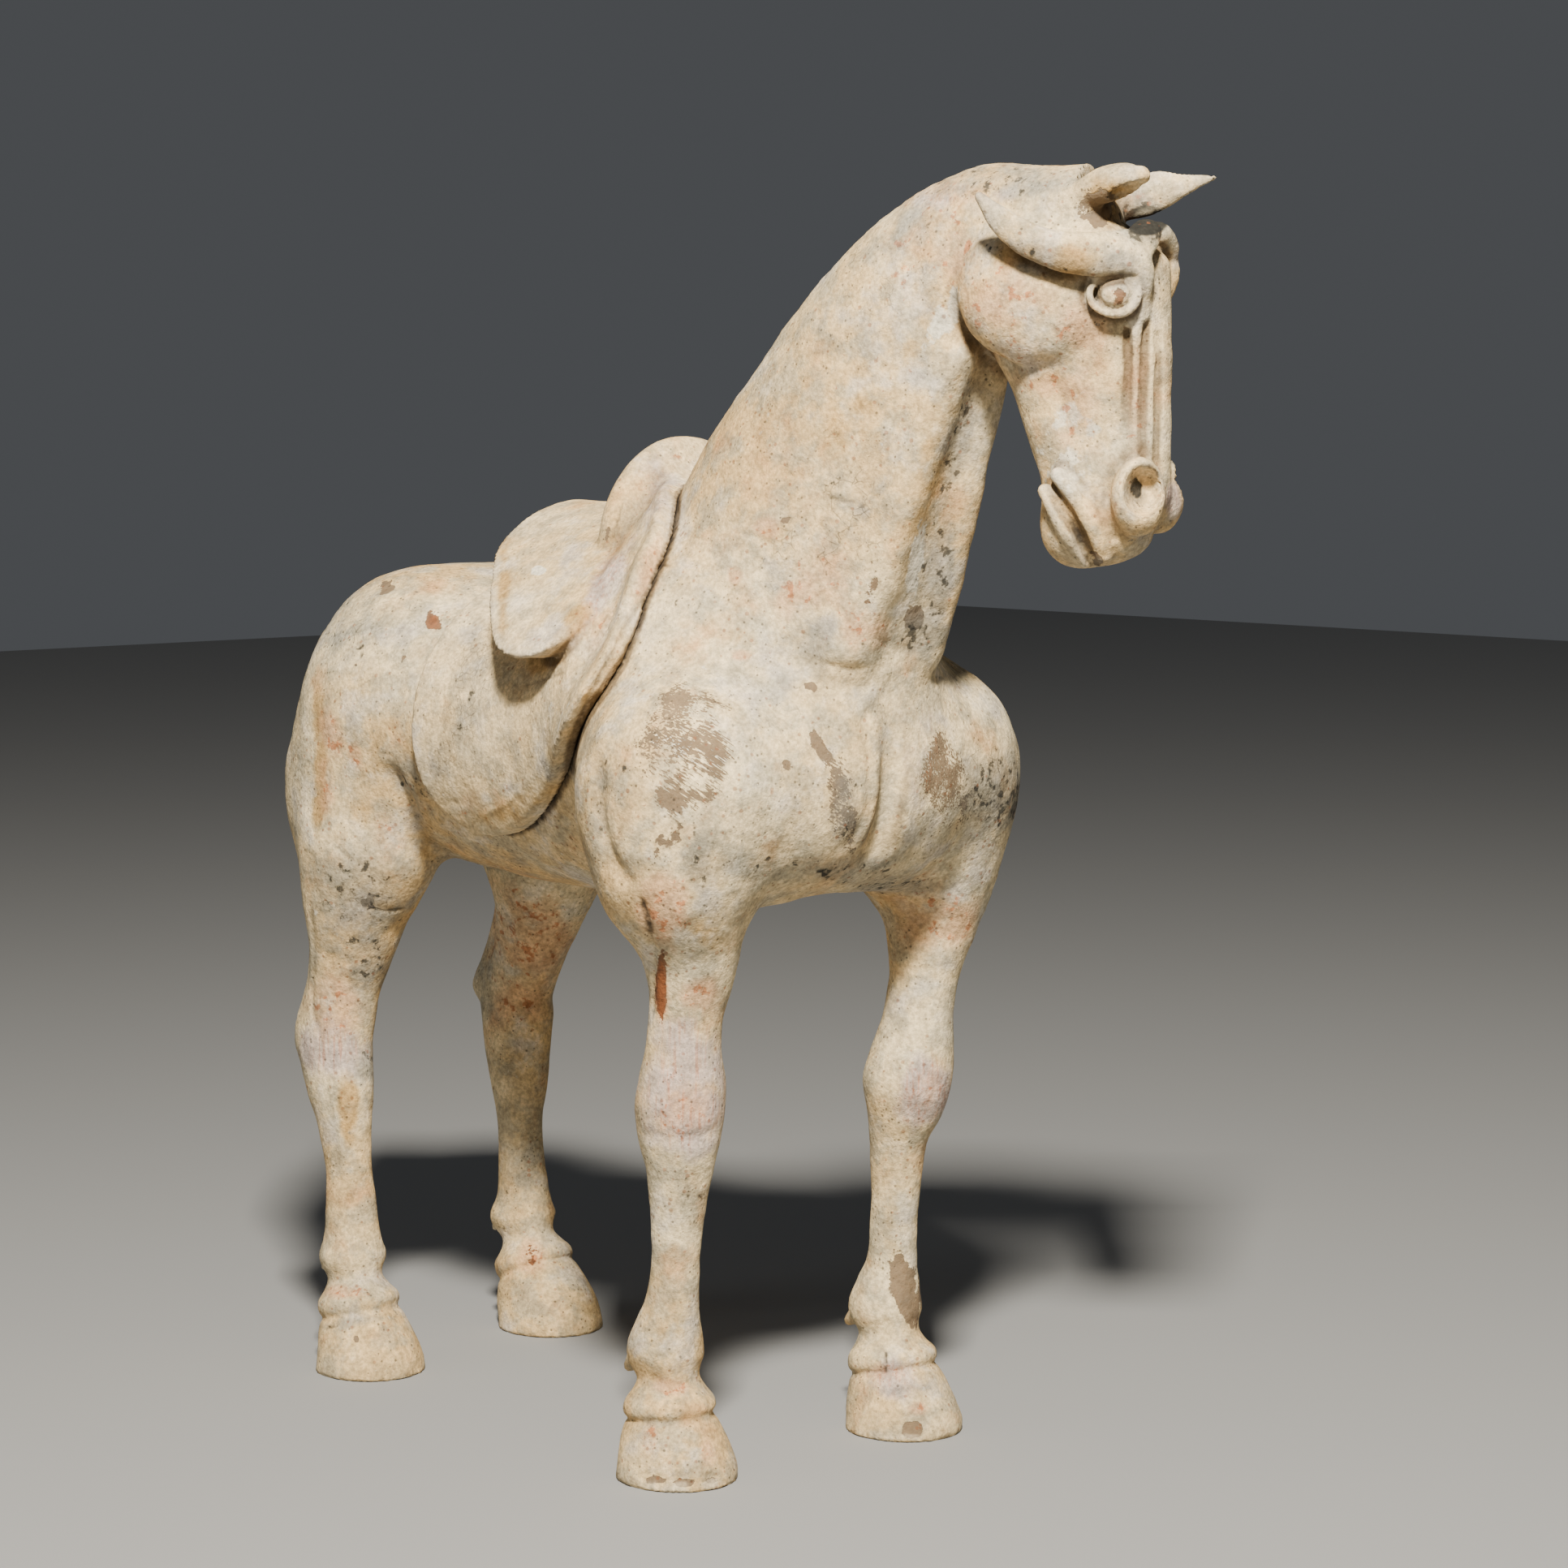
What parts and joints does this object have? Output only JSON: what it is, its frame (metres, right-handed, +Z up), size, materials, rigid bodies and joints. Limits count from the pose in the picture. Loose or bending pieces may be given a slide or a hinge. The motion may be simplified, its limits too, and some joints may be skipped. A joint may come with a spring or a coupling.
{
  "type": "pottery horse figure",
  "caption": "Standing pottery tomb horse with a saddle cloth, high front arch and seat, its arched neck and head turned to the left.",
  "frame": {"origin": "middle of the bounding box, on the level that the hooves stand on", "axes": "+Z up, +X the way the horse's body faces, +Y its left side"},
  "size_m": [0.7412, 0.3188, 0.7988],
  "materials": {
    "body_pottery": "matt cream slip worn down to grey-brown clay, with orange earth",
    "saddle_pottery": "matt cream slip with pink-brown rubbing"
  },
  "bodies": {
    "root": {"horse": "body_pottery", "saddle": "saddle_pottery"}
  },
  "joints": []
}
